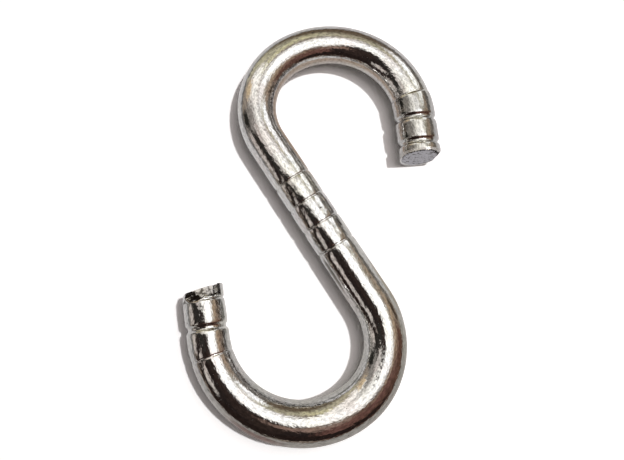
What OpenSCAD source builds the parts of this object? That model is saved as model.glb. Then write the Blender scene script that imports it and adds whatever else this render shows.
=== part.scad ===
// S hook: one round steel bar bent into two open hooks that face opposite ways.
// Ring marks are pressed into the middle of the shank and into both tips. The
// upper tip is upset from its innermost ring outwards and cropped nearly square,
// and the lower tip is torn off, with a lug left standing on its inner side. The
// hook lies flat on its side, with the load line between its two crowns along Y
// and over the origin.

/* [Bar] */
// Diameter of the round bar
bar_d = 10; // [8:0.5:12]
// Length of the straight shank between the two bends
shank_l = 46.5; // [38:0.5:58]

/* [Upper hook] */
// Inside radius of the tight bend that leaves the shank
upper_neck_r = 12.6; // [10:0.1:16]
// Angle that the tight bend turns through
upper_neck_turn = 95.5; // [85:0.5:105]
// Inside radius of the wider bend round the crown
upper_crown_r = 16.4; // [13:0.1:20]
// Angle that the wider bend turns through
upper_crown_turn = 112.5; // [95:0.5:125]
// Length of straight bar from the wider bend to the tip
upper_tail_l = 11.8; // [9:0.1:15]
// Growth in the bar's diameter where it is upset, from the innermost ring outwards
upper_upset = 0.4; // [0.1:0.1:0.8]
// Lean of the cropped end face, whose lower edge stands out
upper_face_lean = 7; // [0:1:15]
// Setback of the nick in the outer edge of the end face, along the bar
upper_nick_l = 1.7; // [1:0.1:2.5]
// Angle between the nick and the end face
upper_nick_angle = 37; // [25:1:45]

/* [Lower hook] */
// Inside radius of the tight bend that leaves the shank
lower_neck_r = 12; // [10:0.1:16]
// Angle that the tight bend turns through
lower_neck_turn = 86.5; // [80:0.5:100]
// Inside radius of the wider bend round the crown
lower_crown_r = 16.6; // [13:0.1:20]
// Angle that the wider bend turns through
lower_crown_turn = 116.5; // [95:0.5:125]
// Length of straight bar from the wider bend to the tip
lower_tail_l = 12.6; // [10:0.1:16]
// Setback of the end face under the broken faces, at the middle of the bar
lower_end_setback = 1; // [0:0.1:1.5]
// Turn of the end face towards the outside of the hook
lower_end_turn = 8; // [0:1:20]
// Upward slope of the shear face
lower_shear_rise = 45; // [35:1:55]
// Turn of the shear face towards the inside of the hook
lower_shear_turn = 33; // [20:1:40]
// Upward slope of the torn face beside it
lower_tear_rise = 50; // [40:1:60]
// Turn of the torn face towards the outside of the hook
lower_tear_turn = 24; // [15:1:26]
// Upward slope of the chip in the outer edge
lower_chip_rise = 15; // [0:1:30]
// Turn of the chip towards the outside of the hook
lower_chip_turn = 68; // [55:1:75]
// Distance of the ridge between both broken faces from the middle of the bar
lower_ridge_x = 1.1; // [-1:0.1:2]
// Distance from the middle of the bar to the lug left on its inner side
lower_lug_x = 3.8; // [3:0.1:4.5]

/* [Ring marks] */
// Distance from one ring to the next
ring_pitch = 6.4; // [5:0.1:8]
// Number of rings in the middle of the shank
shank_ring_count = 4; // [2:1:6]
// Distance of the middle group from the shank's middle, towards the upper hook
shank_ring_offset = 1.6; // [0:0.1:4]
// Distance from the outermost ring of a tip to the tip
tip_ring_setback = 3.6; // [3:0.1:5]
// Width of a fine ring
fine_ring_w = 0.7; // [0.4:0.1:1]
// Depth of a fine ring
fine_ring_depth = 0.15; // [0.1:0.05:0.3]
// Width of a plain ring
plain_ring_w = 0.9; // [0.6:0.1:1.4]
// Depth of a plain ring
plain_ring_depth = 0.3; // [0.1:0.05:0.5]
// Width of a broad ring
broad_ring_w = 1.8; // [1.2:0.1:2.4]
// Depth of a broad ring
broad_ring_depth = 0.5; // [0.2:0.05:0.7]

/* [Hidden] */
$fn = 96;

// Straight and bent bar differ this much in diameter, and the thinner piece
// runs this far into the thicker, so that each joint in the bar is closed
seam_step = 0.01;
seam_lap = 0.1;

// One hook: neck radius and turn, crown radius and turn, both radii to the
// middle of the bar, then the tail's length and the growth in diameter at the tip
upper = [
    upper_neck_r + bar_d / 2, upper_neck_turn,
    upper_crown_r + bar_d / 2, upper_crown_turn,
    upper_tail_l, upper_upset
];
lower = [
    lower_neck_r + bar_d / 2, lower_neck_turn,
    lower_crown_r + bar_d / 2, lower_crown_turn,
    lower_tail_l, 2 * seam_step
];
function neck_radius(hook) = hook[0];
function neck_turn(hook) = hook[1];
function crown_radius(hook) = hook[2];
function crown_turn(hook) = hook[3];
function tail_length(hook) = hook[4];
function tip_diameter(hook) = bar_d + hook[5];

// Ring shapes, as width and depth, and each tip's rings from the outermost inwards
fine_ring = [fine_ring_w, fine_ring_depth];
plain_ring = [plain_ring_w, plain_ring_depth];
broad_ring = [broad_ring_w, broad_ring_depth];
upper_tip_rings = [broad_ring, broad_ring, fine_ring];
lower_tip_rings = [plain_ring, broad_ring, fine_ring];
// Floor of a ring as a share of its width
ring_floor = 0.4;
// Stretch of bar from the innermost ring of a tip to the tip
ringed_l = tip_ring_setback + 2 * ring_pitch;

// Clear of the bar all round, for whatever cuts it
cut_size = 3 * bar_d;

// Turn of a bend of this radius for this length of bar
function turn_for(length, radius) = length / (radius * PI / 180);
// Turn of the crown bend's last stretch, which carries rings
function ringed_turn(hook) = turn_for(max(0, ringed_l - tail_length(hook)), crown_radius(hook));
// Centre of a hook's crown bend, with the shank's middle at the origin
function crown_centre(hook) = [
    neck_radius(hook) + (crown_radius(hook) - neck_radius(hook)) * cos(neck_turn(hook)),
    shank_l / 2 - (crown_radius(hook) - neck_radius(hook)) * sin(neck_turn(hook))
];

// The load line joins the two crowns, square to the bar at both
load_line = crown_centre(upper) + crown_centre(lower);
load_angle = atan2(load_line.y, load_line.x);
crown_reach = (crown_radius(upper) - crown_radius(lower)) * load_line / norm(load_line);
load_middle = (crown_centre(upper) - crown_centre(lower) + crown_reach) / 2;

// Straight bar from the origin along Y, with a lap at both ends
module straight(length, diameter, lap = 0)
    translate([0, -lap, 0]) rotate([-90, 0, 0]) cylinder(h = length + 2 * lap, d = diameter);

// Bent bar from the origin along Y, turning towards +X, with a lap at both ends
module bend(radius, turn, diameter, lap = 0) {
    lap_turn = turn_for(lap, radius);
    translate([radius, 0, 0]) rotate([0, 0, 180 - turn - lap_turn])
        rotate_extrude(angle = turn + 2 * lap_turn) translate([radius, 0]) circle(d = diameter);
}

// Carries its children from the start of a bend to its end
module past_bend(radius, turn)
    translate([radius, 0, 0]) rotate([0, 0, -turn]) translate([-radius, 0, 0]) children();

// Carries its children to the end of a hook's crown bend, less this much turn
module past_crown(hook, turn_back = 0)
    translate([0, shank_l / 2, 0]) past_bend(neck_radius(hook), neck_turn(hook))
        past_bend(crown_radius(hook), crown_turn(hook) - turn_back) children();

// Carries its children to a hook's tip, or back along the bar from it. Y then
// runs along the bar towards the tip
module from_tip(hook, distance = 0) {
    on_bend = distance - tail_length(hook);
    if (on_bend <= 0)
        past_crown(hook) translate([0, -on_bend, 0]) children();
    else
        past_crown(hook, turn_for(on_bend, crown_radius(hook))) children();
}

// Cutter for one ring round a bar along Y: a groove with sloping sides, which
// keep their slope outside the bar
module ring_cut(ring, diameter) {
    floor_half = ring[0] * ring_floor / 2;
    side_slope = (ring[0] / 2 - floor_half) / ring[1];
    bottom = diameter / 2 - ring[1];
    top = diameter / 2 + upper_upset;
    top_half = floor_half + side_slope * (top - bottom);
    rotate([-90, 0, 0]) rotate_extrude() polygon([
        [bottom, -floor_half],
        [bottom, floor_half],
        [top, top_half],
        [top, -top_half]
    ]);
}

// All that lies beyond a plane through the origin. The plane faces +Y, leans
// back by rise to face upwards, and then turns towards -X
module beyond(rise, turn)
    rotate([0, 0, turn]) rotate([rise, 0, 0])
        translate([-cut_size / 2, 0, -cut_size / 2]) cube(cut_size);

// Bar of one hook from the end of the shank, running spare past its tip
module hook_bar(hook, spare) {
    plain_turn = crown_turn(hook) - ringed_turn(hook);
    translate([0, shank_l / 2, 0]) {
        bend(neck_radius(hook), neck_turn(hook), bar_d + seam_step);
        past_bend(neck_radius(hook), neck_turn(hook))
            bend(crown_radius(hook), plain_turn, bar_d, seam_lap);
    }
    if (ringed_turn(hook) > 0)
        past_crown(hook, ringed_turn(hook))
            bend(crown_radius(hook), ringed_turn(hook), tip_diameter(hook));
    past_crown(hook)
        straight(tail_length(hook) + spare, tip_diameter(hook) - seam_step, seam_lap);
}

// Ring marks at one hook's tip. The innermost is cut at the plain bar's surface
module tip_rings(hook, rings)
    for (i = [0 : len(rings) - 1])
        from_tip(hook, tip_ring_setback + i * ring_pitch)
            ring_cut(rings[i], i < len(rings) - 1 ? tip_diameter(hook) : bar_d);

// Ring marks in the middle of the shank
module shank_rings()
    for (i = [0 : shank_ring_count - 1])
        translate([0, shank_ring_offset + (i - (shank_ring_count - 1) / 2) * ring_pitch, 0])
            ring_cut(plain_ring, bar_d);

module upper_hook()
    difference() {
        hook_bar(upper, bar_d / 2);
        tip_rings(upper, upper_tip_rings);
        from_tip(upper) {
            beyond(upper_face_lean, 0);
            translate([-tip_diameter(upper) / 2, -upper_nick_l, 0]) beyond(0, upper_nick_angle);
        }
    }

// All that lies outwards of the lug, on the inner side of the tip
module outside_lug()
    translate([lower_lug_x - cut_size, -cut_size / 2, -cut_size / 2]) cube(cut_size);

// The broken faces and the chip all start from the shoulder of the outermost ring,
// the broken faces at the top of the bar and the chip at its outer side
module lower_break()
    translate([0, plain_ring_w / 2 - tip_ring_setback, 0]) {
        translate([lower_ridge_x, 0, bar_d / 2]) {
            beyond(lower_shear_rise, -lower_shear_turn);
            beyond(lower_tear_rise, lower_tear_turn);
        }
        translate([-bar_d / 2, 0, 0]) beyond(lower_chip_rise, lower_chip_turn);
    }

module lower_hook()
    difference() {
        hook_bar(lower, 0);
        tip_rings(lower, lower_tip_rings);
        from_tip(lower) {
            translate([0, -lower_end_setback, 0]) beyond(0, lower_end_turn);
            intersection() {
                lower_break();
                outside_lug();
            }
        }
    }

module shank()
    difference() {
        translate([0, -shank_l / 2, 0]) straight(shank_l, bar_d, seam_lap);
        shank_rings();
    }

module hook()
    color("silver")
        translate([0, 0, tip_diameter(upper) / 2])
            rotate([0, 0, 90 - load_angle])
                translate([-load_middle.x, -load_middle.y, 0]) {
                    upper_hook();
                    shank();
                    rotate([0, 0, 180]) lower_hook();
                }

hook();
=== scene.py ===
"""Bright zinc-plated S hook, bent from one round steel bar.

Run as a script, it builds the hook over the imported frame, then the stage.
Sizes are in millimetres and the finished meshes in metres, in the frame's axes:
+Z up out of the side that the hook lies on, +Y along the line between its crowns.
"""

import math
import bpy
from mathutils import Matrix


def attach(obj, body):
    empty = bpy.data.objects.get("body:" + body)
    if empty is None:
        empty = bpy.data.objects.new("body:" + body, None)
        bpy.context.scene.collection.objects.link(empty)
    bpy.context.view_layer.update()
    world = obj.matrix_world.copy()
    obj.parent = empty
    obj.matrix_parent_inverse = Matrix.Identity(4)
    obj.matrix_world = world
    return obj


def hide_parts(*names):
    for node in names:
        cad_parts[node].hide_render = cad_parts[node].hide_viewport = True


bl_info = {
    "name": "S Hook",
    "version": (1, 0, 0),
    "blender": (4, 5, 0),
    "location": "View3D > Sidebar > S Hook",
    "description": "Builds a zinc-plated S hook with ring marks and cut tips, and its stage",
    "category": "Add Mesh",
}

import bmesh
import bpy
from bpy.props import FloatProperty, FloatVectorProperty, IntProperty, PointerProperty
from mathutils import Matrix, Vector, noise

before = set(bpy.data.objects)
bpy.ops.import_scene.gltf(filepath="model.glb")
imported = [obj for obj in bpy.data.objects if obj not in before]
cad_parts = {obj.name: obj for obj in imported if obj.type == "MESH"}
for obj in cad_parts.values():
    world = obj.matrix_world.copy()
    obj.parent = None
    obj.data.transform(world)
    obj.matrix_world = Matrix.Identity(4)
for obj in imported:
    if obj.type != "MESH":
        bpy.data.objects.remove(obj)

MM = 0.001
MICRON = 1e-6
NODE = "hook"
BODY = "root"
# Attribute that holds each point's place in the bar as it was before it was bent
UNBENT = "unbent"
# Places of the finishes among the hook's materials
PLATE, CROPPED, SHEARED, TORN = range(4)
# Edges that turn more than this are sharp
SHARP = math.radians(38)
# Sockets of a Mix node that mixes colours, by number: their names aren't unique
MIX_SHARE, MIX_FROM, MIX_TO, MIXED = 0, 6, 7, 2

# Sizes in which the two hooks differ, in mm and radians
UPPER_HOOK = {
    "neck_r": 12.6, "neck_turn": math.radians(95.5),
    "crown_r": 16.4, "crown_turn": math.radians(112.5),
    "tail_l": 11.8, "upset": 0.4,
}
LOWER_HOOK = {
    "neck_r": 12.0, "neck_turn": math.radians(86.5),
    "crown_r": 16.6, "crown_turn": math.radians(116.5),
    "tail_l": 12.6, "upset": 0.0,
}

# Ring marks: width and depth in mm, and those of each tip from the outermost inwards
SHANK_MARK = (0.6, 0.26)
FINE_MARK = (0.7, 0.15)
PLAIN_MARK = (0.9, 0.3)
BROAD_MARK = (1.8, 0.5)
UPPER_MARKS = [BROAD_MARK, BROAD_MARK, FINE_MARK]
LOWER_MARKS = [PLAIN_MARK, BROAD_MARK, FINE_MARK]

# The rest of this block is in mm. Distance between stations along the bar, on plain
# bar and in a ring mark
PLAIN_STEP = 0.5
RING_STEP = 0.1
# How far the upper bar runs past its tip before that is cut back
UPPER_SPARE = 1.0
# Length over which the plate turns duller where the die hammered the upper tip
HAMMERED_OVER = 1
# How far from a tip its nick is cut, its lug's lines are drawn and its end is pressed
NICK_REACH = 12
LINE_REACH = 9
END_REACH = 6
# Vertices this near to the plane of the nick and to a lug's line lie on it
NICK_SNAP = 1e-5
LINE_SNAP = 1e-6
# Faces this near to the plane of a square end belong to it
END_CLOSE = 1e-4
# Vertices this close together are one
ONE_POINT = 0.001
# Radius of the loop that closes an end, as a share of the bar's
LAST_LOOP = 1e-5

# Half width and depth of the cracks in both tips
CRACK_HALF = 0.16
# The crack in the upper tip starts this far over the bar's middle. Its dark finish is a
# painted dark reflection in the rolled rim
CRACK_FROM = 1.0
# The upper tip's rim rolls over by this share on the hook's inside. Its roll grows from
# this far outside the bar's middle, over this width
INNER_ROLL = 0.12
ROLL_FROM = 1.5
ROLL_WIDTH = 3
# The cropped finish runs this far out onto the rim
CROPPED_PAST = 0.05

# The lower tip is torn where its height less its place across is more than this
TEAR_EDGE = 4.6
# Width of the dark line just inside the edge of the sheared face
EDGE_LINE = 0.2
# Across the lower tip, from the foot of the lug's wall: both sides of a crack in the
# sheared face, the wall's top, and the far edge of a dark patch on the lug
LUG_CRACK = (-1.0, -0.7)
LUG_WALL = 0.08
LUG_DARK_PATCH = 0.65
LUG_LINES = (*LUG_CRACK, 0.0, LUG_WALL, LUG_DARK_PATCH)
# Where that dark patch starts, outwards from the tip's outermost ring mark
DARK_PATCH_FROM = 0.8


# ---------------------------------------------------------------- helpers

def linear(hex_code):
    """Linear RGBA of an sRGB colour written as six hex digits."""
    coded = [int(hex_code[i:i + 2], 16) / 255 for i in (0, 2, 4)]
    return (*[c / 12.92 if c <= 0.04045 else ((c + 0.055) / 1.055) ** 2.4 for c in coded], 1.0)


def add_node(tree, kind, inputs=None, **settings):
    """Adds a node with its settings. An input takes a value or another node's socket."""
    made = tree.nodes.new(kind)
    for name, value in settings.items():
        setattr(made, name, value)
    for name, value in (inputs or {}).items():
        if isinstance(value, bpy.types.NodeSocket):
            tree.links.new(value, made.inputs[name])
        else:
            made.inputs[name].default_value = value
    return made


def mix_colours(tree, share, start, end, **settings):
    """Mixes two colours and returns the socket of the result: start where share is 0."""
    mix = add_node(tree, "ShaderNodeMix", {MIX_SHARE: share, MIX_FROM: start, MIX_TO: end},
                   data_type="RGBA", **settings)
    return mix.outputs[MIXED]


def new_material(name):
    """An empty node material and its tree."""
    material = bpy.data.materials.new(name)
    material.use_nodes = True
    material.node_tree.nodes.clear()
    return material, material.node_tree


def per_metre(size_mm):
    """Scale of a pattern on Object coordinates whose features are this many mm."""
    return 1 / (size_mm * MM)


def as_object(bm, name, materials):
    """Turns a bmesh in mm into an object in metres, with its place in its mesh."""
    bmesh.ops.scale(bm, vec=(MM, MM, MM), verts=bm.verts)
    mesh = bpy.data.meshes.new(name)
    bm.to_mesh(mesh)
    bm.free()
    for material in materials:
        mesh.materials.append(material)
    made = bpy.data.objects.new(name, mesh)
    bpy.context.scene.collection.objects.link(made)
    return made


# ---------------------------------------------------------------- settings

def length(name, description, default, **more):
    """A length that a user sets, in mm."""
    return FloatProperty(name=name, description=description + ", in mm", default=default,
                         min=0.0, unit="NONE", **more)


def angle(name, description, degrees):
    """An angle that a user sets."""
    return FloatProperty(name=name, description=description, default=math.radians(degrees),
                         subtype="ANGLE", unit="ROTATION")


def colour(name, description, hex_code):
    """A colour that a user sets."""
    return FloatVectorProperty(name=name, description=description, size=3, subtype="COLOR",
                               min=0.0, max=1.0, default=linear(hex_code)[:3])


class SHOOK_PG_curve(bpy.types.PropertyGroup):
    """One of the two hooks that the bar is bent into."""

    neck_r: length("Neck radius", "Inside radius of the tight bend that leaves the shank", 12.0)
    neck_turn: angle("Neck turn", "Angle that the tight bend turns through", 90)
    crown_r: length("Crown radius", "Inside radius of the wider bend round the crown", 16.5)
    crown_turn: angle("Crown turn", "Angle that the wider bend turns through", 115)
    tail_l: length("Tail length", "Straight bar from the wider bend to the tip", 12.0)
    upset: length("Upset", "Growth in the bar's diameter towards the tip", 0.0)


class SHOOK_PG_sizes(bpy.types.PropertyGroup):
    """Sizes of the hook."""

    bar_d: length("Bar", "Diameter of the round bar", 10.0)
    shank_l: length("Shank", "Straight bar between the two necks", 46.5)
    upper: PointerProperty(type=SHOOK_PG_curve, name="Upper hook")
    lower: PointerProperty(type=SHOOK_PG_curve, name="Lower hook")
    face_lean: angle("End face lean", "Lean of the upper tip's cropped face", 7)
    face_r: length("End face", "Radius of the flat of that face, inside its rim", 4.5)
    face_shift: length("End face shift", "Shift of the flat to the hook's inside", 0.4)
    face_lift: length("End face lift", "Rise of the flat over the bar's middle", 0.6)
    rim_w: length("Rim width", "Width over which the rim round the flat is rolled", 1.2)
    rim_l: length("Rim length", "Length of that rim along the bar", 3.4)
    nick_l: length("Nick", "Setback of the nick in the rim's outer edge", 1.3)
    nick_angle: angle("Nick angle", "Angle between the nick and the cropped face", 42)
    end_setback: length("End setback", "Setback of the lower tip's end face", 1.0)
    end_turn: angle("End turn", "Turn of that face towards the outside of the hook", 8)
    shear_rise: angle("Shear rise", "Upward slope of the lower tip's shear face", 45)
    shear_turn: angle("Shear turn", "Turn of that face towards the inside of the hook", 33)
    tear_rise: angle("Tear rise", "Upward slope of the torn face beside it", 50)
    tear_turn: angle("Tear turn", "Turn of the torn face towards the outside", 24)
    chip_rise: angle("Chip rise", "Upward slope of the chip in the outer edge", 15)
    chip_turn: angle("Chip turn", "Turn of the chip towards the outside", 68)
    ridge_x: length("Ridge", "Ridge between both broken faces, from the bar's middle", 1.1)
    lug_x: length("Lug", "Lug left on the tip's inner side, from the bar's middle", 3.8)
    burr_r: length("Burr", "Radius of the broken faces' rim", 0.2)
    ring_pitch: length("Ring pitch", "Distance from one ring mark to the next", 6.4)
    shank_rings: IntProperty(name="Shank rings", description="Ring marks round the shank",
                             default=4, min=0, max=6)
    ring_offset: length("Ring offset", "Shift of the shank's ring marks to the upper hook", 1.6)
    ring_setback: length("Ring setback", "Distance from a tip to its outermost ring mark", 3.6)
    segments: IntProperty(name="Segments", description="Faces round the bar",
                          default=96, min=24, max=192)


class SHOOK_PG_finish(bpy.types.PropertyGroup):
    """Colours and texture of the metal."""

    plate: colour("Plate", "Colour of the bright zinc plate", "dadad9")
    plate_warm: colour("Plate, yellow", "Yellow tint where the passivation is thicker", "dad9d3")
    plate_rose: colour("Plate, rose", "Rose tint where the passivation is thinner", "dad5d3")
    pit: colour("Pit", "Colour of the pits in the plate", "3a3633")
    cropped: colour("Cropped steel", "Colour of the cropped end face", "b4b4ba")
    sheared: colour("Sheared steel", "Colour of the sheared face", "fbf9f5")
    speck: colour("Speck", "Colour of the specks in the sheared face", "66615b")
    torn: colour("Torn steel", "Colour of the torn face", "1c1512")
    roughness: FloatProperty(name="Roughness", description="Roughness of the bright plate",
                             default=0.07, min=0.0, max=1.0, subtype="FACTOR")
    grain: length("Grain", "Width of the plate's grain", 0.48)
    grain_h: FloatProperty(name="Grain height", description="Height of that grain, in microns",
                           default=36.0, min=0.0)


class SHOOK_PG_stage(bpy.types.PropertyGroup):
    """Light, floor and camera."""

    key_level: FloatProperty(name="Key", description="Share of white that the key lamp gives",
                             default=0.56, min=0.0, max=2.0)
    key_azimuth: angle("Key azimuth", "Direction of the key lamp, from +X towards +Y", 28)
    key_height: angle("Key height", "Height of the key lamp over the floor", 68)
    soft_level: FloatProperty(name="Softbox",
                              description="Share of white that the overhead softbox gives",
                              default=0.34, min=0.0, max=2.0)
    ambient: FloatProperty(name="Ambient", description="Share of white that the room gives",
                           default=0.10, min=0.0, max=2.0)
    tent_r: length("Tent radius", "Radius of the tent that the metal reflects", 350.0)
    lens: length("Lens", "Focal length of the camera", 33.956)


# ---------------------------------------------------------------- hook shape

def ease(t):
    """Smooth step from 0 to 1."""
    t = min(1.0, max(0.0, t))
    return t * t * (3 - 2 * t)


class Ring:
    """One ring mark: a groove this wide and deep, this far along the bar, in a wide
    shallow dip that the die pressed round it."""

    # Flat floor of the groove, as a share of its width
    FLOOR = 0.25
    # The dip's share of the depth, and its half width in mm
    DIP_SHARE = 0.3
    DIP_HALF = 1.5

    def __init__(self, at, width, depth):
        self.at, self.half, self.depth = at, width / 2, depth

    def cut(self, s):
        """Depth of the mark at s."""
        off = abs(s - self.at)
        groove = 1 - ease((off / self.half - self.FLOOR) / (1 - self.FLOOR))
        dip = 1 - ease(off / self.DIP_HALF)
        return self.depth * (groove * (1 - self.DIP_SHARE) + dip * self.DIP_SHARE)


class Bar:
    """Round bar that leaves the shank's middle along +Y and bends towards +X. Between
    two ring marks it is slightly barrel-shaped, as the die left it."""

    # How much thinner the barrel is at its ends, in mm off the radius
    BARREL = 0.05
    # A ring mark reaches this many times its half width
    RING_REACH = 1.3
    # Distance from the last ring mark's stations to the next one, in mm
    AFTER_RINGS = 1.0
    # The upset starts this far ahead of the tip's innermost ring mark, in mm
    UPSET_AHEAD = 0.5

    def __init__(self, sizes, curve, spare=0.0):
        radius = sizes.bar_d / 2
        self.radius = radius
        self.upset = curve.upset / 2
        self.rings = []
        self.legs = [
            (sizes.shank_l / 2, None),
            (curve.neck_turn * (curve.neck_r + radius), curve.neck_r + radius),
            (curve.crown_turn * (curve.crown_r + radius), curve.crown_r + radius),
            (curve.tail_l + spare, None),
        ]
        self.end = sum(leg[0] for leg in self.legs)
        self.tip = self.end - spare
        self.tip_radius = radius + self.upset

    def mark(self, ats, marks):
        """Puts ring marks on the bar, each a width and a depth."""
        self.rings += [Ring(at, *mark) for at, mark in zip(ats, marks)]
        self.rings.sort(key=lambda ring: ring.at)

    def mark_tip(self, sizes, marks):
        """Puts ring marks on the tip, from the outermost inwards."""
        first = self.tip - sizes.ring_setback
        self.mark([first - i * sizes.ring_pitch for i in range(len(marks))], marks)

    def place(self, s):
        """Frame of the bar at s: its middle at the origin, running along Y."""
        here = Matrix.Identity(4)
        for leg_l, bend_r in self.legs:
            run = min(s, leg_l)
            if bend_r is None:
                here = here @ Matrix.Translation((0, run, 0))
            else:
                to_centre = Matrix.Translation((bend_r, 0, 0))
                turn = Matrix.Rotation(-run / bend_r, 4, "Z")
                here = here @ to_centre @ turn @ to_centre.inverted()
            s -= run
            if s <= 0:
                break
        return here

    def radius_at(self, s):
        """Radius of the bar at s, with its ring marks and its upset."""
        cut = max([ring.cut(s) for ring in self.rings], default=0.0)
        for before, after in zip(self.rings, self.rings[1:]):
            half = (after.at - before.at) / 2
            if before.at < s < after.at and half < self.radius:
                cut = max(cut, self.BARREL * ((s - before.at) / half - 1) ** 4 + cut / 2)
        grown = self.upset * ease(s - self.upset_from + self.UPSET_AHEAD)
        return self.radius + grown - cut

    @property
    def upset_from(self):
        """Place of the innermost ring mark of the tip."""
        return self.rings[-len(UPPER_MARKS)].at

    def stops(self):
        """Stations from the shank's middle to the bar's end, close together in the rings."""
        found = []
        s = 0.0
        last = max(ring.at + ring.half * self.RING_REACH for ring in self.rings)
        while s < last:
            near = any(abs(s - ring.at) < ring.half * self.RING_REACH + PLAIN_STEP
                       for ring in self.rings)
            s += RING_STEP if near else PLAIN_STEP
            found.append(s)
        return found + [last + self.AFTER_RINGS, self.end]


def grow(bm, edges, matrix):
    """Extrudes a loop of edges and moves the new one. Returns its edges and vertices."""
    grown = bmesh.ops.extrude_edge_only(bm, edges=edges)["geom"]
    verts = [g for g in grown if isinstance(g, bmesh.types.BMVert)]
    bmesh.ops.transform(bm, matrix=matrix, verts=verts)
    return [g for g in grown if isinstance(g, bmesh.types.BMEdge)], verts


def bend_bar(bm, bar, segments, turn):
    """Draws the bar out of a circle, one station at a time, and gives each vertex its
    place in the bar as it was before it was bent. Returns the last loop of edges."""
    straight = bm.verts.layers.float_vector.get(UNBENT)
    upright = Matrix.Rotation(-math.pi / 2, 4, "X")
    start = bar.radius_at(0.0)
    made = bmesh.ops.create_circle(bm, segments=segments, radius=1.0,
                                   matrix=turn @ upright @ Matrix.Scale(start, 4))
    for vert in made["verts"]:
        vert[straight] = vert.co * MM
    edges = list({e for v in made["verts"] for e in v.link_edges})
    here = turn @ bar.place(0.0) @ Matrix.Scale(start, 4)
    for s in bar.stops():
        radius = bar.radius_at(s)
        there = turn @ bar.place(s) @ Matrix.Scale(radius, 4)
        edges, verts = grow(bm, edges, there @ here.inverted())
        unbend = turn @ Matrix.Translation((0, s, 0)) @ Matrix.Scale(radius, 4) @ there.inverted()
        for vert in verts:
            vert[straight] = (unbend @ vert.co) * MM
        here = there
    return edges


def close_end(bm, edges, place, radius, flat, shift, rim_steps, step):
    """Closes the bar's end with loops that run in to the middle of the flat that the end
    will have, close together where its rim will be, and returns the new faces. The last
    loop is so small that its vertices are merged into one."""
    before = set(bm.faces)
    turns = [i / rim_steps * math.pi / 2 for i in range(1, rim_steps + 1)]
    radii = [radius - (radius - flat) * (1 - math.cos(turn)) for turn in turns]
    count = int(flat / step)
    radii += [flat * (1 - i / count) for i in range(1, count)] + [radius * LAST_LOOP]
    here = place @ Matrix.Scale(radius, 4)
    for inner in radii:
        off = Vector(shift) * min(1.0, (radius - inner) / (radius - flat))
        there = place @ Matrix.Translation(off) @ Matrix.Scale(inner, 4)
        edges, _ = grow(bm, edges, there @ here.inverted())
        here = there
    return [f for f in bm.faces if f not in before]


class Facet:
    """A flat face across a tip, where Y runs along the bar to the tip. It faces Y,
    leans back by rise to face up, and then turns towards -X, the hook's outside."""

    def __init__(self, point, rise, turn):
        self.point = Vector(point)
        self.normal = Vector((-math.sin(turn) * math.cos(rise),
                              math.cos(turn) * math.cos(rise), math.sin(rise)))

    def y(self, x, z):
        """How far along the bar the face lies at x and z."""
        across = (x - self.point.x) * self.normal.x + (z - self.point.z) * self.normal.z
        return self.point.y - across / self.normal.y


def roll(out, width, length):
    """How far a rim of this width and length falls back this far outside its flat."""
    into = min(1.0, max(0.0, out / width))
    return length * (1 - math.sqrt(1 - into * into))


def unevenness(x, z, grain_mm, height_mm):
    """Fixed uneven height of a broken face at x and z, from three octaves of noise."""
    return noise.fractal(Vector((x / grain_mm, z / grain_mm, grain_mm)), 1.0, 2.0, 3) * height_mm


def cropped_end(sizes):
    """Height and finish of the upper tip: cropped nearly square, leaning, with a flat
    that lies off the bar's middle in a rim, rolled most at the hook's outside. A crack
    parts them on top, a groove whose dark finish is a painted dark reflection in the
    rolled rim."""
    face = Facet((0, 0, 0), sizes.face_lean, 0.0)

    def end(x, z):
        out = math.hypot(x - sizes.face_shift, z - sizes.face_lift) - sizes.face_r
        dents = min(0.0, unevenness(x, z, grain_mm=1.3, height_mm=0.12))
        waver = unevenness(x, z, grain_mm=1.0, height_mm=0.25)
        half = CRACK_HALF * (1 + ease(-x / ROLL_WIDTH))
        # The crack is a groove, and its dark finish is a painted dark reflection in the rolled
        # rim
        crack_painted_dark = z > CRACK_FROM and abs(out + waver) < half
        rolled = INNER_ROLL + (1 - INNER_ROLL) * ease((-x - ROLL_FROM) / ROLL_WIDTH)
        fall = roll(out, sizes.rim_w, sizes.rim_l * rolled) + (CRACK_HALF if crack_painted_dark else 0.0)
        finish = TORN if crack_painted_dark else CROPPED if out < CROPPED_PAST else PLATE
        return face.y(x, z) - fall + dents, finish
    return end


def torn_end(sizes, radius):
    """Height and finish of the lower tip: a pale sheared face and a dark torn one that
    meet in a ridge, a chip outside them, and a lug left standing on the hook's inside,
    behind a dark crack."""
    shoulder = PLAIN_MARK[0] / 2 - sizes.ring_setback
    flat = Facet((0, -sizes.end_setback, 0), 0.0, sizes.end_turn)
    ridge = (sizes.ridge_x, shoulder, radius)
    shear = Facet(ridge, sizes.shear_rise, -sizes.shear_turn)
    tear = Facet(ridge, sizes.tear_rise, sizes.tear_turn)
    chip = Facet((-radius, shoulder, 0), sizes.chip_rise, sizes.chip_turn)

    def end(x, z):
        found = [(flat.y(x, z), PLATE)]
        if x < sizes.lug_x + LUG_WALL / 2:
            rough = min(0.0, unevenness(x, z, grain_mm=1.1, height_mm=0.16))
            # Drawn out to four times their width, and slanting down to the inside
            streaks = min(0.0, unevenness(x * 0.25, z + x * 0.3, grain_mm=0.45, height_mm=0.22))
            waver = unevenness(x, z, grain_mm=0.8, height_mm=0.3)
            broken = TORN if z - x + waver > TEAR_EDGE else SHEARED
            found += [(shear.y(x, z) + rough, broken),
                      (tear.y(x, z) + rough + (streaks if broken == TORN else 0.0), broken),
                      (chip.y(x, z), PLATE)]
        y, finish = min(found)
        if LUG_CRACK[0] < x - sizes.lug_x < LUG_CRACK[1]:
            y, finish = y - CRACK_HALF, TORN
        out = math.hypot(x, z) - radius + sizes.burr_r
        fall = roll(out, sizes.burr_r, sizes.burr_r)
        if finish == SHEARED and out > -EDGE_LINE:
            finish = TORN
        return y - fall, PLATE if out > sizes.burr_r / 2 else finish
    return end


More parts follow.
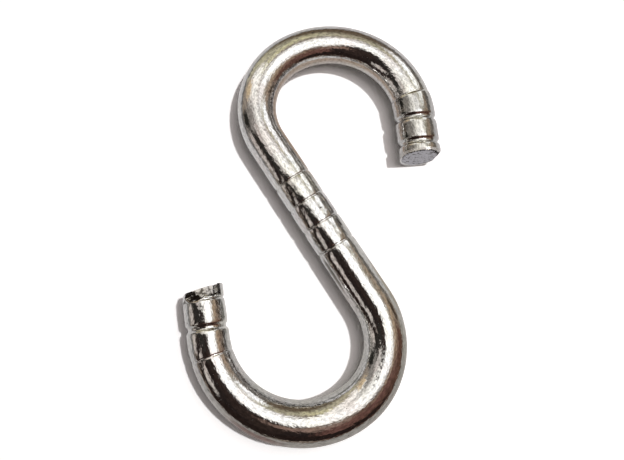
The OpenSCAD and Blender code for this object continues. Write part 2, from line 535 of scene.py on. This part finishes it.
def press_end(bm, sides, cap, place, radius, end):
    """Presses one end of the bar back to a height that depends on x and z, and gives
    each face of it the finish there. What lies past it on the bar's side ends up on
    the rim."""
    straight = bm.verts.layers.float_vector.get(UNBENT)
    back = place.inverted()
    ends = {v for f in cap for v in f.verts}
    for vert in ends | set(sides):
        here = back @ vert.co
        if vert not in ends:
            out = math.hypot(here.x, here.z)
            here.x, here.z = here.x * radius / out, here.z * radius / out
        y, _ = end(here.x, here.z)
        if here.y > y:
            vert.co = place @ Vector((here.x, y, here.z))
            vert[straight] = Vector((here.x, y, here.z)) * MM
    for face in cap:
        middle = back @ face.calc_center_median()
        face.material_index = end(middle.x, middle.z)[1]


def faces_near(bm, place, reach):
    """Faces whose middles are within reach of a tip."""
    return [f for f in bm.faces if (f.calc_center_median() - place.translation).length < reach]


def near_tip(bm, place, reach):
    """Vertices of the bar's side within reach of a tip."""
    back = place.inverted()
    return [v for v in bm.verts
            if (back @ v.co).y > -reach and (back @ v.co).length < 2 * reach]


def with_borders(faces):
    """Faces with their edges and vertices, each once."""
    return list({g for f in faces for g in (f, *f.edges, *f.verts)})


def cut_nick(bm, place, facet):
    """Cuts all that lies beyond a facet and closes the cut."""
    middle = place @ facet.point
    geom = with_borders(faces_near(bm, place, NICK_REACH))
    cut = bmesh.ops.bisect_plane(bm, geom=geom, dist=NICK_SNAP, plane_co=middle,
                                 plane_no=place.to_3x3() @ facet.normal,
                                 clear_outer=True)["geom_cut"]
    rim = [g for g in cut if isinstance(g, bmesh.types.BMEdge)]
    bmesh.ops.contextual_create(bm, geom=rim)


def split_along_wall(bm, faces, place, x):
    """Adds a line of edges to some faces at this x across a tip."""
    bmesh.ops.bisect_plane(bm, geom=with_borders(faces), dist=LINE_SNAP,
                           plane_co=place @ Vector((x, 0, 0)),
                           plane_no=place.to_3x3() @ Vector((1, 0, 0)))


def upper_half(bm, sizes, shank):
    """Adds the shank's upper half and the upper hook, with ring marks at these places
    on the shank, and returns the bar."""
    bar = Bar(sizes, sizes.upper, UPPER_SPARE)
    bar.mark(shank, [SHANK_MARK] * len(shank))
    bar.mark_tip(sizes, UPPER_MARKS)
    here, radius = bar.place(bar.tip), bar.tip_radius
    loop = bend_bar(bm, bar, sizes.segments, Matrix.Identity(4))
    cap = close_end(bm, loop, bar.place(bar.end), radius, sizes.face_r,
                    (sizes.face_shift, 0, sizes.face_lift), rim_steps=10, step=0.2)
    press_end(bm, near_tip(bm, here, sizes.ring_setback), cap, here, radius,
              cropped_end(sizes))
    cut_nick(bm, here, Facet((-radius, -sizes.nick_l, 0), 0.0, sizes.nick_angle))
    return bar


def lower_half(bm, sizes, shank):
    """Adds the shank's lower half and the lower hook, with ring marks at these places
    on the shank."""
    bar = Bar(sizes, sizes.lower)
    bar.mark(shank, [SHANK_MARK] * len(shank))
    bar.mark_tip(sizes, LOWER_MARKS)
    half_turn = Matrix.Rotation(math.pi, 4, "Z")
    here, radius = half_turn @ bar.place(bar.tip), bar.tip_radius
    loop = bend_bar(bm, bar, sizes.segments, half_turn)
    close_end(bm, loop, here, radius, radius - sizes.burr_r, (0, 0, 0),
              rim_steps=3, step=0.13)
    for line in LUG_LINES:
        split_along_wall(bm, faces_near(bm, here, LINE_REACH), here, sizes.lug_x + line)
    cap = [f for f in faces_near(bm, here, END_REACH)
           if min((here.inverted() @ v.co).y for v in f.verts) > -END_CLOSE]
    press_end(bm, near_tip(bm, here, sizes.ring_setback), cap, here, radius,
              torn_end(sizes, radius))
    # A dark patch on top of the lug, in the torn finish
    for face in faces_near(bm, here, END_REACH):
        middle = here.inverted() @ face.calc_center_median()
        if (LUG_WALL < middle.x - sizes.lug_x < LUG_DARK_PATCH and middle.z > 0
                and middle.y > DARK_PATCH_FROM - sizes.ring_setback):
            face.material_index = TORN


def crown_centre(sizes, curve):
    """Centre of a hook's crown bend, with the shank's middle at the origin."""
    step = curve.crown_r - curve.neck_r
    return Vector((curve.neck_r + sizes.bar_d / 2 + step * math.cos(curve.neck_turn),
                   sizes.shank_l / 2 - step * math.sin(curve.neck_turn), 0))


def standing(sizes, height):
    """Brings the load line onto Y, over the origin, and lifts the bar to this height."""
    crown_up, crown_low = crown_centre(sizes, sizes.upper), crown_centre(sizes, sizes.lower)
    line = crown_up + crown_low
    reach = (sizes.upper.crown_r - sizes.lower.crown_r) * line.normalized()
    middle = (crown_up - crown_low + reach) / 2
    return (Matrix.Translation((0, 0, height))
            @ Matrix.Rotation(math.pi / 2 - math.atan2(line.y, line.x), 4, "Z")
            @ Matrix.Translation(-middle))


def hook_mesh(sizes):
    """The whole hook as one closed bmesh in mm, in the frame's axes."""
    bm = bmesh.new()
    bm.verts.layers.float_vector.new(UNBENT)
    shank = [(i - (sizes.shank_rings - 1) / 2) * sizes.ring_pitch + sizes.ring_offset
             for i in range(sizes.shank_rings)]
    bar = upper_half(bm, sizes, shank)
    lower_half(bm, sizes, [-at for at in shank])
    bmesh.ops.remove_doubles(bm, verts=bm.verts, dist=ONE_POINT)
    bmesh.ops.transform(bm, matrix=standing(sizes, bar.tip_radius), verts=bm.verts)
    bmesh.ops.recalc_face_normals(bm, faces=bm.faces)
    for face in bm.faces:
        face.smooth = True
    for edge in bm.edges:
        edge.smooth = edge.calc_face_angle(0.0) < SHARP
    return bm


# ---------------------------------------------------------------- metal

def zinc_plate(finish, die_from):
    """Bright zinc electroplate on drawn steel, clear passivated: a mirror with a grain
    drawn out along the bar, so that what it reflects has crinkled edges and speckles,
    some dull pits, and faint yellow and rose tints. It is duller from die_from mm along
    the bar, where the die hammered the upper tip."""
    material, tree = new_material("bright_zinc_electroplate")
    place = add_node(tree, "ShaderNodeAttribute", attribute_name=UNBENT).outputs["Vector"]

    # Tints, in patches
    patches = add_node(tree, "ShaderNodeTexNoise", {
        "Vector": place, "Scale": per_metre(9), "Detail": 2.0, "Roughness": 0.5})
    tint = add_node(tree, "ShaderNodeValToRGB", {"Fac": patches.outputs["Fac"]})
    stops = tint.color_ramp.elements
    stops[0].position, stops[0].color = 0.32, (*finish.plate_rose, 1)
    stops[1].position, stops[1].color = 0.70, (*finish.plate_warm, 1)
    middle = stops.new(0.5)
    middle.color = (*finish.plate, 1)

    # Grain and slow waves, stretched along the bar. The real grain is under 0.1 mm, too
    # fine to show, so this is coarser
    drawn = add_node(tree, "ShaderNodeMapping", {"Vector": place, "Scale": (1, 0.45, 1)})
    grain = add_node(tree, "ShaderNodeTexNoise", {
        "Vector": drawn.outputs[0], "Scale": per_metre(finish.grain), "Detail": 1.0,
        "Roughness": 0.5})
    peel = add_node(tree, "ShaderNodeTexNoise", {
        "Vector": drawn.outputs[0], "Scale": per_metre(2.4), "Detail": 1.0, "Roughness": 0.5})
    waves = add_node(tree, "ShaderNodeBump", {
        "Height": peel.outputs["Fac"], "Distance": 30 * MICRON, "Strength": 1.0})
    relief = add_node(tree, "ShaderNodeBump", {
        "Height": grain.outputs["Fac"], "Distance": finish.grain_h * MICRON, "Strength": 1.0,
        "Normal": waves.outputs["Normal"]})

    # Speckles, and the duller stretch
    speckle = add_node(tree, "ShaderNodeTexNoise", {
        "Vector": drawn.outputs[0], "Scale": per_metre(0.42), "Detail": 2.0, "Roughness": 0.6})
    speckled = add_node(tree, "ShaderNodeMapRange", {
        "Value": speckle.outputs["Fac"], "From Min": 0.35, "From Max": 0.6,
        "To Min": 0.66, "To Max": 1.04})
    along = add_node(tree, "ShaderNodeSeparateXYZ", {0: place})
    hammered = add_node(tree, "ShaderNodeMapRange", {
        "Value": along.outputs["Y"],
        "From Min": die_from * MM, "From Max": (die_from + HAMMERED_OVER) * MM,
        "To Min": 1.0, "To Max": 0.84})
    dulled = add_node(tree, "ShaderNodeMath", {
        0: speckled.outputs["Result"], 1: hammered.outputs["Result"]}, operation="MULTIPLY")
    mottled = mix_colours(tree, 1.0, tint.outputs["Color"], dulled.outputs[0],
                          blend_type="MULTIPLY")

    # Pits
    holes = add_node(tree, "ShaderNodeTexNoise", {
        "Vector": place, "Scale": per_metre(0.75), "Detail": 1.0, "Roughness": 0.5})
    pitted = add_node(tree, "ShaderNodeMapRange", {
        "Value": holes.outputs["Fac"], "From Min": 0.73, "From Max": 0.78})
    base = mix_colours(tree, pitted.outputs["Result"], mottled, (*finish.pit, 1))
    rough = add_node(tree, "ShaderNodeMapRange", {
        "Value": pitted.outputs["Result"], "To Min": finish.roughness, "To Max": 0.5})
    shader = add_node(tree, "ShaderNodeBsdfPrincipled", {
        "Base Color": base, "Metallic": 1.0, "Roughness": rough.outputs["Result"],
        "Normal": relief.outputs["Normal"]})
    add_node(tree, "ShaderNodeOutputMaterial", {"Surface": shader.outputs["BSDF"]})
    return material


def cut_steel(name, base, speck, *, share, blend, grit_mm, depth_mm, metallic,
              stretch=(1, 1, 1)):
    """Cut or broken steel under a thin plate: matt and gritty, of a base colour with
    specks of another, which can be stretched into streaks. Noise under share is speck,
    and the two colours run into each other over blend on either side of it."""
    material, tree = new_material(name)
    place = add_node(tree, "ShaderNodeAttribute", attribute_name=UNBENT).outputs["Vector"]
    drawn = add_node(tree, "ShaderNodeMapping", {"Vector": place, "Scale": stretch})
    grit = add_node(tree, "ShaderNodeTexNoise", {
        "Vector": drawn.outputs[0], "Scale": per_metre(grit_mm), "Detail": 3.0,
        "Roughness": 0.6})
    shade = add_node(tree, "ShaderNodeValToRGB", {"Fac": grit.outputs["Fac"]})
    stops = shade.color_ramp.elements
    stops[0].position, stops[0].color = share - blend, (*speck, 1)
    stops[1].position, stops[1].color = share + blend, (*base, 1)
    relief = add_node(tree, "ShaderNodeBump", {
        "Height": grit.outputs["Fac"], "Distance": depth_mm * MM, "Strength": 1.0})
    shader = add_node(tree, "ShaderNodeBsdfPrincipled", {
        "Base Color": shade.outputs["Color"], "Metallic": metallic, "Roughness": 0.4,
        "Normal": relief.outputs["Normal"]})
    add_node(tree, "ShaderNodeOutputMaterial", {"Surface": shader.outputs["BSDF"]})
    return material


# ---------------------------------------------------------------- stage

# Painted pool of light, in how bright the metal shows the floor: distance from the
# origin in mm and level
PAINTED_FLOOR_POOL = ((35, 0.82), (60, 0.74), (100, 0.55), (180, 0.47), (300, 0.28))
# Sides of the floor, patches of painted shade and light that the metal shows: azimuth and
# distance of the middle, half length along that and half width across it in mm, softness
# of the edge, colour
PAINTED_FLOOR_SHADE_AND_LIGHT = (
    ("under the camera", 174, 190, 125, 170, 0.12, "878787"),
    ("under the window", 61, 125, 100, 100, 0.40, "dcdcdc"),
    ("inside the upper hook", 98, 28, 12, 10, 0.60, "b4a496"),
    ("inside the lower hook", 262, 21, 5.5, 6, 0.50, "5c5e59"),
    ("beside the shank", 342, 28, 9, 7, 0.50, "beb6a6"),
    ("under the brown wall", 305, 150, 125, 260, 0.25, "b2b0aa"),
    ("below the lower crown", 262, 72, 20, 10, 0.50, "94827e"),
    ("foot of the brown wall", 315, 330, 190, 330, 0.25, "7e7265"),
)
# Distance over which the floor's painted pool of light is drawn, and the floor's radius, in mm
FLOOR_REACH = 350
FLOOR_R = 1500
# Level at which a camera sees the floor, over 1 so that it is white all round the hook
FLOOR_WHITE = 1.2
# Softbox lamp: azimuth from +X, tilt from straight up and half width in degrees, its
# distance as a share of the tent's radius, and its colour
SOFTBOX_AZIMUTH = 32
SOFTBOX_TILT = 17
SOFTBOX_HALF = 21
SOFTBOX_AT = 0.95
SOFTBOX_COLOUR = "fff6f4"
# Width of the key lamp in degrees
KEY_WIDTH = 2.5
# Camera: where it is and what it looks at in mm, its azimuth from -Y and its roll in
# degrees, shift of the view as a share of its width, and width of the sensor in mm
CAMERA_EYE = (-6.785, -29.052, 147.940)
CAMERA_AIM = (-14.363, 10.769, 5.2)
CAMERA_AZIMUTH = 10.776
CAMERA_ROLL = -0.788
CAMERA_SHIFT = (0.0729, -0.1015)
CAMERA_SENSOR = 36.0


def sweep_board():
    """White matt board. It keeps the hook's shadow, and it is white around it to a camera.
    To all other rays, and so in the metal, its colour holds a painted pool of light that
    grows darker away from the hook, and patches of painted shade and light."""
    material, tree = new_material("white_sweep_board")
    place = add_node(tree, "ShaderNodeTexCoord").outputs["Object"]
    away = add_node(tree, "ShaderNodeVectorMath", {0: place}, operation="LENGTH")
    share = add_node(tree, "ShaderNodeMath", {
        0: away.outputs["Value"], 1: FLOOR_REACH * MM}, operation="DIVIDE")
    # Painted pool of light, in the colour that all rays but the camera's see
    pool = add_node(tree, "ShaderNodeValToRGB", {"Fac": share.outputs[0]})
    stops = pool.color_ramp.elements
    stops.remove(stops[1])
    for i, (distance, level) in enumerate(PAINTED_FLOOR_POOL):
        stop = stops.new(distance / FLOOR_REACH) if i else stops[0]
        stop.position, stop.color = distance / FLOOR_REACH, (level, level, level, 1)
    painted_light_and_shade = pool.outputs["Color"]
    # Patches of painted shade and light, mixed over the painted pool
    for name, azimuth, distance, long, wide, soft, hex_code in PAINTED_FLOOR_SHADE_AND_LIGHT:
        turn = Matrix.Rotation(math.radians(azimuth), 3, "Z")
        # A metre high, as a flat floor needs no third size
        local = add_node(tree, "ShaderNodeMapping", {
            "Vector": place, "Location": turn @ Vector((distance, 0, 0)) * MM,
            "Rotation": turn.to_euler(), "Scale": Vector((long, wide, 1 / MM)) * MM},
            vector_type="TEXTURE")
        painted_light_and_shade = mix_colours(tree, soft_inside(tree, local, soft), painted_light_and_shade, linear(hex_code),
                            label=name)
    rays = add_node(tree, "ShaderNodeLightPath")
    white = mix_colours(tree, rays.outputs["Is Camera Ray"], painted_light_and_shade,
                        (FLOOR_WHITE, FLOOR_WHITE, FLOOR_WHITE, 1))
    board = add_node(tree, "ShaderNodeBsdfDiffuse", {"Color": white})
    add_node(tree, "ShaderNodeOutputMaterial", {"Surface": board.outputs["BSDF"]})
    return material


def soft_inside(tree, local, soft):
    """1 inside the unit circle of a Mapping node and 0 outside, with a soft edge."""
    away = add_node(tree, "ShaderNodeVectorMath", {0: local.outputs[0]}, operation="LENGTH")
    return add_node(tree, "ShaderNodeMapRange", {
        "Value": away.outputs["Value"], "From Min": 1 - soft, "From Max": 1 + soft,
        "To Min": 1.0, "To Max": 0.0}, interpolation_type="SMOOTHSTEP").outputs["Result"]


# What the metal reflects from the tent: azimuth from +X, tilt from straight up, half
# height and half width in degrees, twist, softness of the edge, colour and strength
SURROUNDINGS = (
    ("wall, olive", 108, 64, 52, 17, 54, 0.20, "c7c0a6", 1.1),
    ("wall, olive, low", 98, 94, 28, 43, -53, 0.35, "6c5e4e", 1.1),
    ("wall, yellow", 130, 32, 8, 29, 37, 0.40, "e2dab2", 1.1),
    ("card, white", 143, 22, 41, 17, 1, 0.20, "fffbf4", 1.45),
    ("wall, tan", 151, 62, 14, 6, 10, 0.45, "e2caa8", 1.1),
    ("wall, grey, left", 184, 66, 45, 14, 24, 0.30, "96908a", 1.1),
    ("gap, dark", 178, 72, 15, 8, -6, 0.40, "2c2b27", 1.1),
    ("wall, brown", 330, 73, 46, 40, -20, 0.12, "64493e", 1.1),
    ("wall, tan, right", 359, 48, 12, 33, -15, 0.45, "b49e88", 1.1),
    ("wall, mauve", 290, 55, 13, 60, 18, 0.45, "705048", 1.1),
    ("wall, grey", 54, 83, 11, 25, -11, 0.10, "76716c", 1.1),
    ("gap, brown", 24, 76, 11, 5, -32, 0.50, "4c4036", 1.1),
    ("camera, black", 243, 50, 41, 34, 39, 0.12, "2c2422", 1.1),
    ("floor edge, black", 273, 73, 12, 60, -1, 0.15, "2a201d", 1.1),
    ("camera, brown", 255, 32, 29, 12, 12, 0.12, "362b27", 1.1),
    ("lamp, low", 223, 58, 12, 7, 34, 0.35, "d8cfc8", 1.1),
    ("lamp edge", 190, 35, 4.5, 18, -35, 0.25, "c9bbb3", 1.1),
    ("stand, dark", 198, 43, 26, 6, -18, 0.30, "33302d", 1.1),
    ("table, pale", 201, 74, 7.5, 11, -43, 0.30, "d0c6c0", 1.1),
    ("window", 58, 56, 13, 10, 18, 0.45, "ffffff", 1.6),
    ("softbox, overhead", 30, 18, 19.5, 21.5, 3, 0.45, "fffdfb", 1.75),
    ("softbox, edge", 181, 32, 10, 6, -41, 0.25, "d6cec8", 1.15),
    ("card, pink", 288, 31, 8, 12, -27, 0.45, "987e72", 1.1),
)


def tent_lining():
    """Lining of the tent that only the metal's reflections meet: a pale room with an
    overhead softbox, a window, warm walls and the dark side that the camera stands on."""
    material, tree = new_material("tent_lining")
    place = add_node(tree, "ShaderNodeTexCoord").outputs["Object"]
    towards = add_node(tree, "ShaderNodeVectorMath", {0: place}, operation="NORMALIZE")
    lining = linear("a39689")
    for name, azimuth, tilt, high, wide, twist, soft, hex_code, strength in SURROUNDINGS:
        azimuth, tilt, twist = (math.radians(a) for a in (azimuth, tilt, twist))
        turn = Matrix.Rotation(azimuth, 4, "Z") @ Matrix.Rotation(tilt, 4, "Y")
        middle = turn @ Vector((0, 0, 1))
        turn = turn @ Matrix.Rotation(twist, 4, "Z")
        local = add_node(tree, "ShaderNodeMapping", {
            "Vector": towards.outputs[0], "Location": middle, "Rotation": turn.to_euler(),
            "Scale": (math.radians(high), math.radians(wide), 1.0)}, vector_type="TEXTURE")
        shade = [c * strength for c in linear(hex_code)[:3]]
        lining = mix_colours(tree, soft_inside(tree, local, soft), lining, (*shade, 1),
                             label=name)
    glow = add_node(tree, "ShaderNodeEmission", {"Color": lining, "Strength": 1.0})
    add_node(tree, "ShaderNodeOutputMaterial", {"Surface": glow.outputs["Emission"]})
    return material


def light_world(stage):
    """World that gives the room's soft light, and is white where a camera or metal sees it."""
    world = bpy.data.worlds.new("studio")
    world.use_nodes = True
    tree = world.node_tree
    tree.nodes.clear()
    rays = add_node(tree, "ShaderNodeLightPath")
    seen = add_node(tree, "ShaderNodeMath", {
        0: rays.outputs["Is Camera Ray"], 1: rays.outputs["Is Glossy Ray"]}, operation="MAXIMUM")
    seen = add_node(tree, "ShaderNodeMath", {
        0: seen.outputs[0], 1: rays.outputs["Is Transmission Ray"]}, operation="MAXIMUM")
    soft = add_node(tree, "ShaderNodeBackground", {
        "Color": linear("fff4f2"), "Strength": stage.ambient})
    white = add_node(tree, "ShaderNodeBackground", {"Color": linear("ffffff"), "Strength": 1.0})
    mixed = add_node(tree, "ShaderNodeMixShader", {
        0: seen.outputs[0], 1: soft.outputs[0], 2: white.outputs[0]})
    add_node(tree, "ShaderNodeOutputWorld", {"Surface": mixed.outputs[0]})
    bpy.context.scene.world = world


# ---------------------------------------------------------------- operators

class SHOOK_OT_hook(bpy.types.Operator):
    """Add the S hook: the bent bar with its ring marks and its two tips"""

    bl_idname = "s_hook.hook"
    bl_label = "Hook"

    def execute(self, context):
        finish = context.scene.s_hook_finish
        sizes = context.scene.s_hook_sizes
        innermost = sizes.ring_setback + (len(UPPER_MARKS) - 1) * sizes.ring_pitch
        die_from = Bar(sizes, sizes.upper).tip - innermost
        hook = as_object(hook_mesh(sizes), "s_hook", [
            zinc_plate(finish, die_from),
            cut_steel("cropped_steel", finish.cropped, finish.pit, share=0.42, blend=0.05,
                      grit_mm=0.6, depth_mm=0.04, metallic=1.0),
            cut_steel("sheared_steel", finish.sheared, finish.speck, share=0.48, blend=0.07,
                      grit_mm=1.4, depth_mm=0.10, metallic=0.5),
            cut_steel("torn_steel", finish.torn, finish.sheared, share=0.37, blend=0.05,
                      grit_mm=0.6, depth_mm=0.10, metallic=1.0, stretch=(0.3, 1, 1)),
        ])
        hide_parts(NODE)
        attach(hook, BODY)
        return {"FINISHED"}


class SHOOK_OT_stage(bpy.types.Operator):
    """Add the floor, the tent that the metal reflects, the lamps and the camera"""

    bl_idname = "s_hook.stage"
    bl_label = "Stage"

    def execute(self, context):
        stage = context.scene.s_hook_stage
        self.add_floor()
        self.add_tent(stage)
        light_world(stage)
        self.add_key(context, stage)
        self.add_softbox(context, stage)
        self.add_camera(context, stage)
        context.scene.view_settings.view_transform = "Standard"
        return {"FINISHED"}

    def add_floor(self):
        """White floor that the hook lies on."""
        bm = bmesh.new()
        bmesh.ops.create_circle(bm, cap_ends=True, segments=64, radius=FLOOR_R)
        as_object(bm, "floor", [sweep_board()])

    def add_tent(self, stage):
        """Tent that only reflections meet."""
        bm = bmesh.new()
        bmesh.ops.create_uvsphere(bm, u_segments=48, v_segments=32, radius=stage.tent_r)
        tent = as_object(bm, "tent", [tent_lining()])
        tent.visible_camera = False
        tent.visible_diffuse = False
        tent.visible_shadow = False
        tent.visible_transmission = False

    def add_key(self, context, stage):
        """Key lamp that casts the shadow."""
        lamp = bpy.data.lights.new("key", "SUN")
        lamp.angle = math.radians(KEY_WIDTH)
        lamp.energy = stage.key_level * math.pi / math.sin(stage.key_height)
        key = bpy.data.objects.new("key", lamp)
        key.rotation_euler = (math.pi / 2 - stage.key_height, 0, stage.key_azimuth + math.pi / 2)
        context.scene.collection.objects.link(key)

    def add_softbox(self, context, stage):
        """Overhead softbox that fills the shadow. The tent shows it to the metal."""
        reach = stage.tent_r * MM * SOFTBOX_AT
        tilt = math.radians(SOFTBOX_TILT)
        turn = (Matrix.Rotation(math.radians(SOFTBOX_AZIMUTH), 4, "Z")
                @ Matrix.Rotation(tilt, 4, "Y"))
        lamp = bpy.data.lights.new("softbox", "AREA")
        lamp.shape = "DISK"
        lamp.size = 2 * stage.tent_r * MM * math.sin(math.radians(SOFTBOX_HALF))
        lamp.energy = stage.soft_level * (math.pi * reach) ** 2 / math.cos(tilt)
        lamp.color = linear(SOFTBOX_COLOUR)[:3]
        softbox = bpy.data.objects.new("softbox", lamp)
        softbox.matrix_world = turn @ Matrix.Translation((0, 0, reach))
        softbox.visible_glossy = False
        context.scene.collection.objects.link(softbox)

    def add_camera(self, context, stage):
        """Camera that looks down on the hook."""
        lens = bpy.data.cameras.new("camera")
        lens.lens, lens.sensor_width = stage.lens, CAMERA_SENSOR
        lens.clip_start, lens.clip_end = 0.005, 10.0
        lens.shift_x, lens.shift_y = CAMERA_SHIFT
        aim = Vector(CAMERA_AIM) * MM
        eye = Vector(CAMERA_EYE) * MM
        height = math.asin((eye - aim).normalized().z)
        turn = (Matrix.Rotation(math.radians(CAMERA_AZIMUTH), 4, "Z")
                @ Matrix.Rotation(math.pi / 2 - height, 4, "X")
                @ Matrix.Rotation(math.radians(CAMERA_ROLL), 4, "Z"))
        camera = bpy.data.objects.new("camera", lens)
        camera.matrix_world = Matrix.Translation(eye) @ turn
        context.scene.collection.objects.link(camera)
        context.scene.camera = camera


class SHOOK_PT_panel(bpy.types.Panel):
    """Pieces of the hook and their sizes and colours"""

    bl_idname = "SHOOK_PT_panel"
    bl_label = "S Hook"
    bl_space_type = "VIEW_3D"
    bl_region_type = "UI"
    bl_category = "S Hook"

    def draw(self, context):
        scene = context.scene
        for settings in (scene.s_hook_sizes, scene.s_hook_sizes.upper,
                         scene.s_hook_sizes.lower, scene.s_hook_finish, scene.s_hook_stage):
            box = self.layout.box()
            for name in settings.bl_rna.properties.keys():
                if name not in ("rna_type", "name", "upper", "lower"):
                    box.prop(settings, name)
        for operator in (SHOOK_OT_hook, SHOOK_OT_stage):
            self.layout.operator(operator.bl_idname)


CLASSES = (SHOOK_PG_curve, SHOOK_PG_sizes, SHOOK_PG_finish, SHOOK_PG_stage,
           SHOOK_OT_hook, SHOOK_OT_stage, SHOOK_PT_panel)


def register():
    """Registers the add-on's classes and its settings."""
    for made in CLASSES:
        bpy.utils.register_class(made)
    bpy.types.Scene.s_hook_sizes = PointerProperty(type=SHOOK_PG_sizes)
    bpy.types.Scene.s_hook_finish = PointerProperty(type=SHOOK_PG_finish)
    bpy.types.Scene.s_hook_stage = PointerProperty(type=SHOOK_PG_stage)


def unregister():
    """Takes the add-on's settings and classes away again."""
    del bpy.types.Scene.s_hook_stage
    del bpy.types.Scene.s_hook_finish
    del bpy.types.Scene.s_hook_sizes
    for made in reversed(CLASSES):
        bpy.utils.unregister_class(made)


def main():
    """Builds the hook and its stage."""
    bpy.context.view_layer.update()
    register()
    sizes = bpy.context.scene.s_hook_sizes
    for curve, values in ((sizes.upper, UPPER_HOOK), (sizes.lower, LOWER_HOOK)):
        for name, value in values.items():
            setattr(curve, name, value)
    bpy.ops.s_hook.hook()
    bpy.ops.s_hook.stage()


if __name__ == "__main__":
    main()
